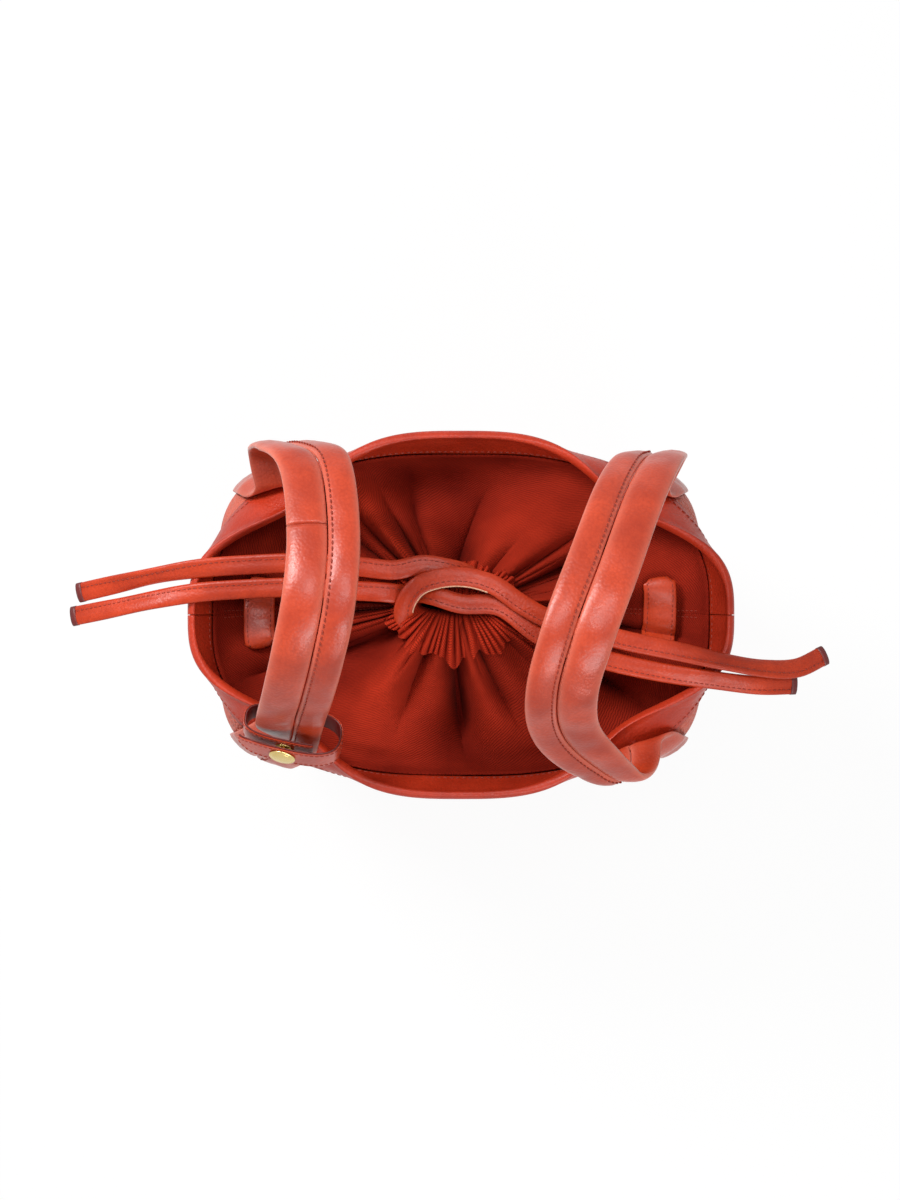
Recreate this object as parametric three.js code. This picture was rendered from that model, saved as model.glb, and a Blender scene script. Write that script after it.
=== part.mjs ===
// Leather tote bag with a gathered drawstring collar, two handles and a press-stud strap.
// Millimetres, +Z up, origin at the centre of the base's underside, +X to the right, +Y to the back.
import * as THREE from 'three';

// Body
const bagHeight = 265;
const baseWidth = 284;
const baseDepth = 150;
const bellyWidth = 288;
const bellyDepth = 184;
const mouthWidth = 316;
const mouthDepth = 212;
const bellyDrop = 55; // the belly's fullest line, measured down from the rim
const baseSquareness = 8; // exponents of the oval sections, 2 is an ellipse
const bellySquareness = 5;
const mouthSquareness = 2.6;
const cornerBulge = 0.07; // how far the belly's corners stand out, as a share of their radius
const cornerPinch = 0.21; // how far the handle feet pull the mouth's corners in
const cornerSharpness = 3.4; // a higher power keeps the pull closer to the corners
const rimDip = 6; // how much lower the rim hangs between the handle feet
const footTuck = 6; // how far the walls turn in towards the base
const footHeight = 14;

// Sheets and clearances
const leather = 2.2;
const facingLeather = 1.4;
const liningCloth = 0.8;
const collarCloth = 1.6;
const clearance = 0.3;
const seamGap = 0.6;
const columnStep = 7.5; // degrees between the columns that all walls share

// Rim facing
const facingDepth = 18;

// Collar, its neck and ruffle
const collarDrop = 36; // seam of collar and lining, measured down from the rim
const neckX = -3.5;
const neckY = 7;
const neckWidth = 58;
const neckDepth = 34;
const neckDrop = 6; // the neck's waist, measured down from the rim's high points
const ruffleWidth = 20;
const ruffleRise = 9;
const foldCount = 12;
const foldHeight = 4;

// Mouth size that the points of the drawstrings and handles are drawn for; they move with the mouth
const drawnMouth = [316, 212];

// Drawstrings
const cordWidth = 12.5;
const cordThickness = 2.6;
const cordSteps = 26;
// Points of each strip's middle from the neck to its free end: x, y and height over the rim facing
const cordRoutes = {
  left_cord_upper: [[-8, 27, 5.2], [-22, 29, 6.2], [-38, 26, 6.2], [-60, 28, 5.2], [-95, 30, 2.2],
    [-125, 29, -0.8], [-152, 27, -2.8], [-178, 23, -6.8], [-202, 18, -14.8], [-226, 13, -26.8]],
  left_cord_lower: [[-43, 13, 5.2], [-60, 14, 4.2], [-95, 16, 1.2], [-125, 15, -1.3], [-153, 13, -3.3],
    [-178, 9, -7.8], [-203, 4, -15.8], [-230, -1, -28.8]],
  right_cord_upper: [[-32, 7, 6.2], [-24, 17, 9.2], [-4, 22, 11.2], [17, 18, 11.2], [35, 6, 10.2],
    [50, -2, 9.2], [92, -14, 5.2], [125, -21, 2.2], [152, -27, 1.2], [176, -31, -1.8],
    [196, -31, -9.8], [214, -24, -20.8]],
  right_cord_lower: [[-15, 11, 4.7], [0, 6.5, 5.2], [22, 5, 5.7], [46, -12, 5.2], [80, -25, 2.2],
    [115, -33, -0.8], [148, -38, -2.8], [174, -41, -7.8], [196, -41, -16.8]],
};

// Keeper tabs on the collar's side seams
const tabColumns = 2; // columns of the collar that a tab covers on each side of the seam
const tabPlace = [0.15, 0.3]; // its edges between the collar's seam (0) and its neck (1)
const tabThickness = 1.6;
const tabHump = 5;

// Handles
const handleWidth = 39;
const handleThickness = 3.4;
const handleSeam = 0.06; // place of the lengthwise seam across the band, -0.5 to 0.5
const crossSeam = 0.42; // place of the left handle's cross seam along the band, 0 at the back foot
const footDepth = 46; // how far the handle feet reach down the wall
const handleSteps = 36;
// Back and front foot: degrees round the wall, height over the rim where the band leaves it,
// and how much later its inner edge leaves; then points of the band's middle: x, y and height over the rim
const handles = {
  left: {
    inward: 1,
    feet: [{ angle: 133, leaves: -20, twist: 11 }, { angle: 226, leaves: 2, twist: 0 }],
    bow: [[-113, 92, -2], [-107, 93, 22], [-95, 92, 48], [-80, 82, 75], [-73, 42, 101], [-75, 8, 110],
      [-81, -18, 100], [-89, -42, 72], [-96, -58, 36]],
  },
  right: {
    inward: -1,
    feet: [{ angle: 47, leaves: -20, twist: 13 }, { angle: 313, leaves: -18, twist: 10 }],
    bow: [[116, 90, -2], [112, 89, 22], [103, 84, 48], [91, 66, 75], [74, 26, 101], [60, -10, 108],
      [53, -40, 92], [58, -64, 60], [79, -84, 32], [103, -97, 4]],
  },
};

// Press-stud strap
const strapWidth = 17;
const strapThickness = 1.8;
const strapSlack = 5.5; // room in the ring beyond each edge of the handle
const strapHalfDepth = 9.5;
const strapSquareness = 5;
const strapPlace = 0.803; // place along the left handle
const strapForward = 1.4; // how far the ring's middle hangs in front of the band's underside
const strapStart = 55; // degrees round the ring, 90 is its front
const strapEnd = 502;
const capDiameter = 15;
const capHeight = 2;
const pressDiameter = 11;
const pressThickness = 1.2;
const postDiameter = 10;

const strapHalfLength = handleWidth / 2 + strapSlack;
const facingRise = leather / 2 + clearance + facingLeather; // the facing's top over the rim

const { clamp, lerp, smoothstep, degToRad } = THREE.MathUtils;

// Colours from the coral leather, the darker twill and the brass
const leatherLook = { color: 0xc5432c, roughness: 0.55, metalness: 0 };
const handleLook = { color: 0xd4533a, roughness: 0.38, metalness: 0 };
const cordLook = { color: 0xcc4a2e, roughness: 0.45, metalness: 0 };
const twillLook = { color: 0xa82616, roughness: 0.9, metalness: 0 };
const brassLook = { color: 0xcdb878, roughness: 0.3, metalness: 1 };

const bag = new THREE.Group();

function addPiece(name, geometry, look) {
  const piece = new THREE.Mesh(geometry, new THREE.MeshStandardMaterial(look));
  piece.name = name;
  bag.add(piece);
  return piece;
}

// A closed solid between two grids: pointAt(u, v, side) gives the outer face at side 1, the inner at 0.
function gridSolid(us, vs, pointAt) {
  const columns = us.length;
  const rows = vs.length;
  const positions = [];
  for (const side of [1, 0]) {
    for (const u of us) {
      for (const v of vs) {
        positions.push(...pointAt(u, v, side).toArray());
      }
    }
  }
  const at = (side, i, j) => (1 - side) * columns * rows + i * rows + j;
  const index = [];
  const quad = (a, b, c, d) => index.push(a, b, c, a, c, d);
  const heightOf = (vertex) => positions[vertex * 3 + 2];
  for (let i = 0; i + 1 < columns; i += 1) {
    for (let j = 0; j + 1 < rows; j += 1) {
      for (const side of [1, 0]) {
        const corners = [at(side, i, j), at(side, i + 1, j), at(side, i + 1, j + 1), at(side, i, j + 1)];
        // Every sheet is split along the diagonal that rises with u, so that neighbours lie parallel
        if (heightOf(corners[3]) < heightOf(corners[0])) {
          corners.push(corners.shift());
        }
        const [a, b, c, d] = corners;
        quad(...(side ? [a, b, c, d] : [a, d, c, b]));
      }
    }
  }
  for (let i = 0; i + 1 < columns; i += 1) {
    quad(at(0, i, 0), at(0, i + 1, 0), at(1, i + 1, 0), at(1, i, 0));
    quad(at(0, i, rows - 1), at(1, i, rows - 1), at(1, i + 1, rows - 1), at(0, i + 1, rows - 1));
  }
  for (let j = 0; j + 1 < rows; j += 1) {
    quad(at(1, 0, j), at(1, 0, j + 1), at(0, 0, j + 1), at(0, 0, j));
    quad(at(1, columns - 1, j), at(0, columns - 1, j), at(0, columns - 1, j + 1), at(1, columns - 1, j + 1));
  }
  return outward(positions, index);
}

// The triangles as a geometry, turned so that their faces point out.
function outward(positions, index) {
  let volume = 0;
  const corner = (k) => new THREE.Vector3().fromArray(positions, index[k] * 3);
  for (let k = 0; k < index.length; k += 3) {
    volume += corner(k).dot(corner(k + 1).cross(corner(k + 2)));
  }
  if (volume < 0) {
    index.reverse();
  }
  const geometry = new THREE.BufferGeometry();
  geometry.setAttribute('position', new THREE.Float32BufferAttribute(positions, 3));
  geometry.setIndex(index);
  geometry.computeVertexNormals();
  return geometry;
}

// The unit normal of a surface of two parameters, from small steps along both.
function surfaceNormal(surface, u, v, stepU, stepV) {
  const alongU = surface(u + stepU, v).sub(surface(u - stepU, v));
  const alongV = surface(u, v + stepV).sub(surface(u, v - stepV));
  return alongU.cross(alongV).normalize();
}

// Evenly spaced values from start to end.
function spread(start, end, steps) {
  return Array.from({ length: steps + 1 }, (_, k) => lerp(start, end, k / steps));
}

// Body walls: oval sections that run from a squarish base through a full belly to a pinched mouth.
function rimHeight(angle) {
  return bagHeight - rimDip * Math.cos(2 * angle) ** 2;
}

function wallPoint(angle, z) {
  const rim = rimHeight(angle);
  const belly = rim - bellyDrop;
  const low = smoothstep(z, 0, belly);
  const high = Math.max(0, (z - belly) / bellyDrop) ** 2;
  const blend = (base, middle, mouth) => lerp(lerp(base, middle, low), mouth, high);
  const tuck = footTuck * clamp((footHeight - z) / footHeight, 0, 1) ** 2;
  const halfWidth = blend(baseWidth, bellyWidth, mouthWidth) / 2 - tuck;
  const halfDepth = blend(baseDepth, bellyDepth, mouthDepth) / 2 - tuck;
  const power = blend(baseSquareness, bellySquareness, mouthSquareness);
  const corner = blend(0, cornerBulge, -cornerPinch) * Math.abs(Math.sin(2 * angle)) ** cornerSharpness;
  const reach = Math.abs(Math.cos(angle)) ** power + Math.abs(Math.sin(angle)) ** power;
  const scale = (1 + corner) * reach ** (-1 / power);
  return new THREE.Vector3(halfWidth * scale * Math.cos(angle), halfDepth * scale * Math.sin(angle), z);
}

function wallOffset(angle, z, distance) {
  const normal = surfaceNormal(wallPoint, angle, z, 0.01, 0.5);
  return wallPoint(angle, z).addScaledVector(normal, distance);
}

// Columns from one seam to the next on the shared grid, each end held half a seam gap back.
function columnsBetween(startDegrees, endDegrees) {
  const count = Math.round((endDegrees - startDegrees) / columnStep);
  const angles = spread(degToRad(startDegrees), degToRad(endDegrees), count);
  const rate = (angle) => {
    const ahead = wallPoint(angle + 0.01, bagHeight);
    return ahead.distanceTo(wallPoint(angle - 0.01, bagHeight)) / 0.02;
  };
  angles[0] += seamGap / 2 / rate(angles[0]);
  angles[count] -= seamGap / 2 / rate(angles[count]);
  return angles;
}

// Rows shared by the walls and linings: shares of the way up to the belly, then depths under the rim.
const footRows = [0, 0.5, 1].map((share) => () => share * footHeight);
const lowRows = [0.15, 0.4, 0.7, 0.9].map((share) => (rim) => share * (rim - bellyDrop));
const highRows = [bellyDrop, 42, 30, facingDepth, facingDepth / 2, 0].map((depth) => (rim) => rim - depth);

const panels = { front: [225, 315], right: [315, 405], back: [45, 135], left: [135, 225] };
const panelNames = { front: 'front_panel', right: 'right_gusset', back: 'back_panel', left: 'left_gusset' };

function addWalls() {
  const rows = [...footRows, ...lowRows, ...highRows];
  for (const [side, [start, end]] of Object.entries(panels)) {
    const geometry = gridSolid(columnsBetween(start, end), rows, (angle, row, face) =>
      wallOffset(angle, row(rimHeight(angle)), face ? 0 : -leather));
    addPiece(panelNames[side], geometry, leatherLook);
  }
}

function addLinings() {
  const liningTop = (rim) => rim - facingDepth - seamGap;
  const rows = [footRows[1], footRows[2], ...lowRows, ...highRows.slice(0, 3), liningTop];
  const outer = -leather - clearance;
  for (const [side, [start, end]] of Object.entries(panels)) {
    const geometry = gridSolid(columnsBetween(start, end), rows, (angle, row, face) =>
      wallOffset(angle, row(rimHeight(angle)), face ? outer : outer - liningCloth));
    addPiece(`${side}_lining`, geometry, twillLook);
  }
}

// Base: the leather panel sewn inside the walls' foot, with its lining on top.
function addBase() {
  const ring = spread(0, 2 * Math.PI, 360 / columnStep).slice(0, -1);
  const outline = ring.map((angle) => {
    const level = surfaceNormal(wallPoint, angle, 0, 0.01, 0.5).setZ(0).normalize();
    const point = wallPoint(angle, 0).addScaledVector(level, -leather);
    return new THREE.Vector2(point.x, point.y);
  });
  const slab = (thickness) => new THREE.ExtrudeGeometry(new THREE.Shape(outline),
    { depth: thickness, bevelEnabled: false });
  addPiece('base_panel', slab(leather), leatherLook);
  addPiece('base_lining', slab(liningCloth), twillLook).position.z = leather + clearance;
}

// Rim facing: a leather strip folded over the walls' top edge, in halves that meet at the sides.
function addFacings() {
  const inner = leather / 2 + clearance;
  const legs = [facingDepth, facingDepth / 2];
  const bend = spread(0, Math.PI, 5);
  const profile = [
    ...legs.map((depth) => ({ depth, turn: 0 })),
    ...bend.map((turn) => ({ depth: 0, turn })),
    ...legs.reverse().map((depth) => ({ depth, turn: Math.PI })),
  ];
  const pointAt = (angle, { depth, turn }, face) => {
    const z = rimHeight(angle) - depth;
    const radius = face ? inner + facingLeather : inner;
    const normal = surfaceNormal(wallPoint, angle, z, 0.01, 0.5);
    const up = wallPoint(angle, z + 1).sub(wallPoint(angle, z)).normalize();
    return wallPoint(angle, z)
      .addScaledVector(normal, radius * Math.cos(turn) - leather / 2)
      .addScaledVector(up, radius * Math.sin(turn));
  };
  addPiece('back_rim_facing', gridSolid(columnsBetween(0, 180), profile, pointAt), leatherLook);
  addPiece('front_rim_facing', gridSolid(columnsBetween(180, 360), profile, pointAt), leatherLook);
}

// Collar: a cloth cone from the lining's seam up to the neck, then a ruffle that flops outwards.
function collarPoint(angle, place) {
  const rim = rimHeight(angle);
  const seam = wallOffset(angle, rim - collarDrop, -leather - liningCloth - 3 * clearance - collarCloth / 2);
  const waist = new THREE.Vector3(
    neckX + (neckWidth / 2) * Math.cos(angle), neckY + (neckDepth / 2) * Math.sin(angle), bagHeight - neckDrop);
  const cone = clamp(place, 0, 1);
  const point = seam.clone().lerp(waist, cone);
  const climb = cone ** 1.7;
  const fold = foldHeight * Math.sin(Math.PI * Math.min(1, place)) * Math.cos(foldCount * angle);
  point.z = lerp(seam.z, waist.z, climb) + (place < 1 ? fold : 0);
  const flare = Math.max(0, place - 1);
  const out = new THREE.Vector3(Math.cos(angle), Math.sin(angle), 0);
  point.addScaledVector(out, ruffleWidth * flare ** 1.5);
  point.z += ruffleRise * Math.sin(flare * 2);
  return point;
}

function addCollar() {
  const rows = [0, 0.15, 0.3, 0.45, 0.6, 0.75, 0.88, 0.96, 1.04, 1.2, 1.5, 1.8, 2];
  const pointAt = (angle, place, face) => {
    const normal = surfaceNormal(collarPoint, angle, place, 0.01, 0.02);
    return collarPoint(angle, place).addScaledVector(normal, (face ? 0.5 : -0.5) * collarCloth);
  };
  addPiece('back_collar', gridSolid(columnsBetween(0, 180), rows, pointAt), twillLook);
  addPiece('front_collar', gridSolid(columnsBetween(180, 360), rows, pointAt), twillLook);
}

// Keeper tabs: leather straps sewn over the collar's side seams, standing off it in the middle.
function addTabs() {
  const reach = degToRad(columnStep * tabColumns);
  const turns = spread(-1, 1, 2 * tabColumns);
  for (const [side, centre] of [['right', 0], ['left', Math.PI]]) {
    const pointAt = (turn, place, face) => {
      const angle = centre + turn * reach;
      const normal = surfaceNormal(collarPoint, angle, place, 0.01, 0.02);
      const upward = normal.z > 0 ? 1 : -1;
      const lift = collarCloth / 2 + clearance + tabHump * Math.cos(turn * Math.PI / 2) ** 2;
      return collarPoint(angle, place).addScaledVector(normal, upward * (lift + face * tabThickness));
    };
    addPiece(`${side}_keeper_tab`, gridSolid(turns, tabPlace, pointAt), handleLook);
  }
}

// A drawn point, moved with the mouth's size and raised to the level that its height counts from.
function drawnPoint([x, y, height], level) {
  return new THREE.Vector3(x * mouthWidth / drawnMouth[0], y * mouthDepth / drawnMouth[1], level + height);
}

// Drawstrings: flat strips that lie level along their routes.
function addCords() {
  const up = new THREE.Vector3(0, 0, 1);
  for (const [name, points] of Object.entries(cordRoutes)) {
    const level = bagHeight + facingRise;
    const route = new THREE.CatmullRomCurve3(points.map((point) => drawnPoint(point, level)));
    const pointAt = (share, across, face) => {
      const along = route.getTangentAt(share);
      const sideways = along.clone().cross(up).normalize();
      const thick = sideways.clone().cross(along).normalize();
      return route.getPointAt(share)
        .addScaledVector(sideways, across * cordWidth)
        .addScaledVector(thick, (face - 0.5) * cordThickness);
    };
    addPiece(name, gridSolid(spread(0, 1, cordSteps), [-0.5, 0.5], pointAt), cordLook);
  }
}

// A handle's middle surface: it follows the wall at both feet and its own bow between them.
function handleSurface({ inward, feet, bow }) {
  const wallTop = bagHeight - rimDip / 2; // above it the band rises straight up
  const overFacing = facingLeather + 2 * clearance;
  const seat = (z) => 4 * clearance + overFacing * smoothstep(z, bagHeight - 34, bagHeight - 24);
  const footPoint = (foot, across, z) => {
    const angle = degToRad(feet[foot].angle);
    const turn = foot === 0 ? -inward : inward;
    const low = Math.min(z, wallTop);
    const rate = wallPoint(angle + 0.05, low).distanceTo(wallPoint(angle - 0.05, low)) / 0.1;
    const point = wallOffset(angle + turn * across * handleWidth / rate, low, seat(z));
    point.z += z - low;
    return point;
  };
  const footMiddle = (foot) => spread(-footDepth, feet[foot].leaves - 4, 2)
    .map((height) => footPoint(foot, 0, bagHeight + height));
  const route = new THREE.CatmullRomCurve3([
    ...footMiddle(0),
    ...bow.map((point) => drawnPoint(point, bagHeight)),
    ...footMiddle(1).reverse(),
  ]);
  return (share, across) => {
    const middle = route.getPointAt(clamp(share, 0, 1));
    const along = route.getTangentAt(clamp(share, 0, 1));
    const level = new THREE.Vector3(inward, 0, 0);
    level.addScaledVector(along, -level.dot(along)).normalize();
    const free = middle.clone().addScaledVector(level, across * handleWidth);
    const foot = share < 0.5 ? 0 : 1;
    const leaves = bagHeight + feet[foot].leaves + feet[foot].twist * (across + 0.5);
    return footPoint(foot, across, middle.z).lerp(free, smoothstep(middle.z, leaves, leaves + 20));
  };
}

function addHandles() {
  const halfGap = seamGap / 2 / handleWidth;
  const wide = [-0.5, handleSeam - halfGap];
  const narrow = [handleSeam + halfGap, 0.5];
  const halves = { wide_back: [0, crossSeam - halfGap / 4], wide_front: [crossSeam + halfGap / 4, 1] };
  for (const [side, handle] of Object.entries(handles)) {
    const surface = handleSurface(handle);
    const strip = (name, [from, to], edges) => {
      const pointAt = (share, across, face) => {
        const inside = clamp(share, 0.01, 0.99);
        const normal = surfaceNormal(surface, inside, across, 0.004, 0.05);
        return surface(share, across).addScaledVector(normal, handle.inward * face * handleThickness);
      };
      const shares = spread(from, to, Math.round(handleSteps * (to - from)));
      const acrosses = spread(...edges, 3);
      addPiece(`${side}_handle_${name}`, gridSolid(shares, acrosses, pointAt), handleLook);
    };
    strip('narrow', [0, 1], narrow);
    if (side === 'left') {
      strip('wide_back', halves.wide_back, wide);
      strip('wide_front', halves.wide_front, wide);
    } else {
      strip('wide', [0, 1], wide);
    }
  }
}

// Press-stud strap: a loose ring round the left handle's front foot, its tail lapped over its front.
function addStrap() {
  const surface = handleSurface(handles.left);
  const step = 0.004;
  const origin = surface(strapPlace, 0);
  const along = surface(strapPlace + step, 0).sub(surface(strapPlace - step, 0)).normalize();
  const across = surface(strapPlace, 0.3).sub(surface(strapPlace, -0.3)).normalize();
  const front = along.clone().cross(across).normalize();
  const place = (a, b, c) => origin.clone()
    .addScaledVector(across, a).addScaledVector(front, b).addScaledVector(along, c);
  const layerStep = strapThickness + 2 * pressThickness + 3 * clearance;
  const ring = (degrees, width) => {
    const turn = degToRad(degrees);
    const reach = Math.abs(Math.cos(turn)) ** strapSquareness + Math.abs(Math.sin(turn)) ** strapSquareness;
    const scale = reach ** (-1 / strapSquareness);
    const grow = layerStep * smoothstep(degrees, 150, 390);
    return place((strapHalfLength + grow) * scale * Math.cos(turn),
      strapForward + (strapHalfDepth + grow) * scale * Math.sin(turn), width * strapWidth);
  };
  const pointAt = (degrees, width, face) => {
    const normal = surfaceNormal(ring, degrees, width, 1, 0.1);
    return ring(degrees, width).addScaledVector(normal, (face - 0.5) * strapThickness);
  };
  const degrees = spread(strapStart, strapEnd, 44);
  addPiece('snap_strap', gridSolid(degrees, [-0.5, 0.5], pointAt), handleLook);

  // The press-stud's four brass pieces, from the cap on the tail inwards
  const innerFront = strapForward + strapHalfDepth;
  const half = strapThickness / 2 + clearance;
  const seats = {
    snap_cap: [innerFront + layerStep + half, 1,
      [[capDiameter, 0], [capDiameter, 0.3], [0.8 * capDiameter, 0.8], [0, 1]],
      capHeight],
    snap_socket: [innerFront + layerStep - half, -1, [[pressDiameter, 0], [pressDiameter, 0.7],
      [0.8 * pressDiameter, 1], [0, 1]], pressThickness],
    snap_stud: [innerFront + half, 1, [[pressDiameter, 0], [pressDiameter, 0.4], [0.5 * pressDiameter, 0.5],
      [0.45 * pressDiameter, 1], [0, 1]], pressThickness],
    snap_post: [innerFront - half, -1,
      [[postDiameter, 0], [postDiameter, 0.5], [0.7 * postDiameter, 1], [0, 1]],
      pressThickness],
  };
  for (const [name, [distance, facing, profile, height]] of Object.entries(seats)) {
    const toPoint = ([diameter, share]) => new THREE.Vector2(diameter / 2, share * height);
    const points = [[0, 0], ...profile].map(toPoint);
    const piece = addPiece(name, new THREE.LatheGeometry(points, 16), brassLook);
    piece.quaternion.setFromUnitVectors(new THREE.Vector3(0, 1, 0), front.clone().multiplyScalar(facing));
    piece.position.copy(place(0, distance, 0));
  }
}

addWalls();
addLinings();
addBase();
addFacings();
addCollar();
addTabs();
addCords();
addHandles();
addStrap();

export default bag;
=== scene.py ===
import math

import bmesh
import bpy
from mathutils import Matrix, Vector
import numpy as np


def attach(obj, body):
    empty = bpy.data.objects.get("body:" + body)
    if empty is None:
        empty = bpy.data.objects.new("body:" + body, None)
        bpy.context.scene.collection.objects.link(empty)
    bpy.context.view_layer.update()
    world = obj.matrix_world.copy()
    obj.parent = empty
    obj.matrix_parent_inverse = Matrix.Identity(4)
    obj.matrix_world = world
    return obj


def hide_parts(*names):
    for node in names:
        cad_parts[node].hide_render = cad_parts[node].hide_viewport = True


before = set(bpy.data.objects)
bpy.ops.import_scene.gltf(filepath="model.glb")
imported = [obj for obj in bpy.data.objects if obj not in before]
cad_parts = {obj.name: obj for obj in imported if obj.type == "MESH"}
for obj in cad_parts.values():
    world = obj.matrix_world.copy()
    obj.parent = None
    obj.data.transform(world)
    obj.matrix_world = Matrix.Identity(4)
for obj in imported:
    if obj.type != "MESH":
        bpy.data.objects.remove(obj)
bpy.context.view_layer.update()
scene = bpy.context.scene
scene.view_settings.view_transform = "Standard"
print("frame loaded:", len(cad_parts), "nodes")

# shapes are worked out in millimetres, meshes are stored in metres
metre = 0.001
fullTurn = 2 * math.pi
bag = dict(
    height=265.0, baseSize=(284.0, 150.0), bellySize=(288.0, 184.0), mouthSize=(316.0, 212.0),
    bellyDrop=55.0, squareness=(8.0, 5.0, 2.6), cornerBulge=0.015, cornerPinch=0.21, cornerSharpness=3.4,
    rimDip=6.0, footTuck=6.0, footHeight=14.0, leather=2.2, facingLeather=1.4, facingDepth=18.0,
    lining=0.8, gap=0.3,
)


def smooth(x, low, high):  # 0 below low, 1 above high, an S curve between
    t = np.clip((x - low) / (high - low), 0, 1)
    return t * t * (3 - 2 * t)


def mix(a, b, t):  # straight blend, a at 0 and b at 1
    return a + (b - a) * t


def unit(v):  # vectors along the last axis brought to length 1
    return v / np.maximum(np.linalg.norm(v, axis=-1, keepdims=True), 1e-9)


def blunt(wave, power):  # the size of a wave raised to a power, its sign kept: powers under 1 square it off
    return np.sign(wave) * np.abs(wave) ** power


def squaredOval(a, power):  # radius at angle a of the unit curve |x|^power + |y|^power = 1
    return (np.abs(np.cos(a)) ** power + np.abs(np.sin(a)) ** power) ** (-1 / power)


def ripple(x, y, seed, waves=7, finest=1.0):  # sum of a few sine waves at seeded angles, about -1 to 1
    rng = np.random.default_rng(seed)
    total = np.zeros(np.broadcast(x, y).shape)
    for k in range(waves):
        turn, phase = rng.uniform(0, fullTurn, 2)
        pitch = finest * rng.uniform(0.4, 1.0)
        total = total + np.sin((x * math.cos(turn) + y * math.sin(turn)) * pitch + phase)
    return total / math.sqrt(waves) / 1.4


def lengthsAlong(line):  # distance travelled at each point of a line, from 0
    return np.concatenate([[0], np.cumsum(np.linalg.norm(np.diff(line, axis=0), axis=1))])


def readAt(place, steps, values):  # each column of values read between its steps at the places asked for
    return np.stack([np.interp(place, steps, values[:, k]) for k in range(3)], -1)


def route(points, count):  # centripetal Catmull-Rom line through the points, resampled at even lengths
    p = np.array(points, float)
    p = np.vstack([2 * p[0] - p[1], p, 2 * p[-1] - p[-2]])
    pieces = []
    for a, b, c, d in zip(p[:-3], p[1:-2], p[2:-1], p[3:]):
        t1, t2, t3 = np.cumsum([max(np.linalg.norm(q), 1e-6) ** 0.5 for q in (b - a, c - b, d - c)])
        t = np.linspace(t1, t2, 40)[:-1, None]
        ab = mix(a, b, t / t1)
        bc = mix(b, c, (t - t1) / (t2 - t1))
        cd = mix(c, d, (t - t2) / (t3 - t2))
        abc = mix(ab, bc, t / t2)
        bcd = mix(bc, cd, (t - t1) / (t3 - t1))
        pieces.append(mix(abc, bcd, (t - t1) / (t2 - t1)))
    line = np.vstack(pieces + [p[-2][None]])
    steps = lengthsAlong(line)
    return readAt(np.linspace(0, steps[-1], count), steps, line)


def linear(hexText):  # sRGB hex to the linear values that shaders take
    c = np.array([int(hexText[k:k + 2], 16) for k in (1, 3, 5)]) / 255
    return (*np.where(c <= 0.04045, c / 12.92, ((c + 0.055) / 1.055) ** 2.4), 1.0)


def addNode(tree, kind, props={}, inputs={}):  # a node with its settings, and its inputs set or linked
    node = tree.nodes.new(kind)
    for key, value in props.items():
        setattr(node, key, value)
    for key, value in inputs.items():
        if isinstance(value, bpy.types.NodeSocket):
            tree.links.new(value, node.inputs[key])
        else:
            node.inputs[key].default_value = value
    return node


def newMaterial(name):  # a node material with its tree and its main shader
    material = bpy.data.materials.new(name)
    material.use_nodes = True
    return material, material.node_tree, material.node_tree.nodes["Principled BSDF"]


def weld(mesh):  # points that fall together become one, which closes poles and strip ends
    work = bmesh.new()
    work.from_mesh(mesh)
    bmesh.ops.remove_doubles(work, verts=work.verts, dist=1e-6)
    work.to_mesh(mesh)
    work.free()


def gridQuads(rows, columns, wrap):
    # point numbers of each quad of a grid; a wrapped direction also joins its last line to its first
    i = np.arange(rows if wrap[0] else rows - 1)[:, None]
    j = np.arange(columns if wrap[1] else columns - 1)[None, :]
    nextI, nextJ = (i + 1) % rows, (j + 1) % columns
    corners = (i * columns + j, nextI * columns + j, nextI * columns + nextJ, i * columns + nextJ)
    return np.stack(np.broadcast_arrays(*corners), -1).reshape(-1, 4)


def addPiece(name, mesh, material):  # a named object that rides on the bag's one body
    piece = bpy.data.objects.new(name, mesh)
    scene.collection.objects.link(piece)
    mesh.materials.append(material)
    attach(piece, "root")
    return piece


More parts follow.
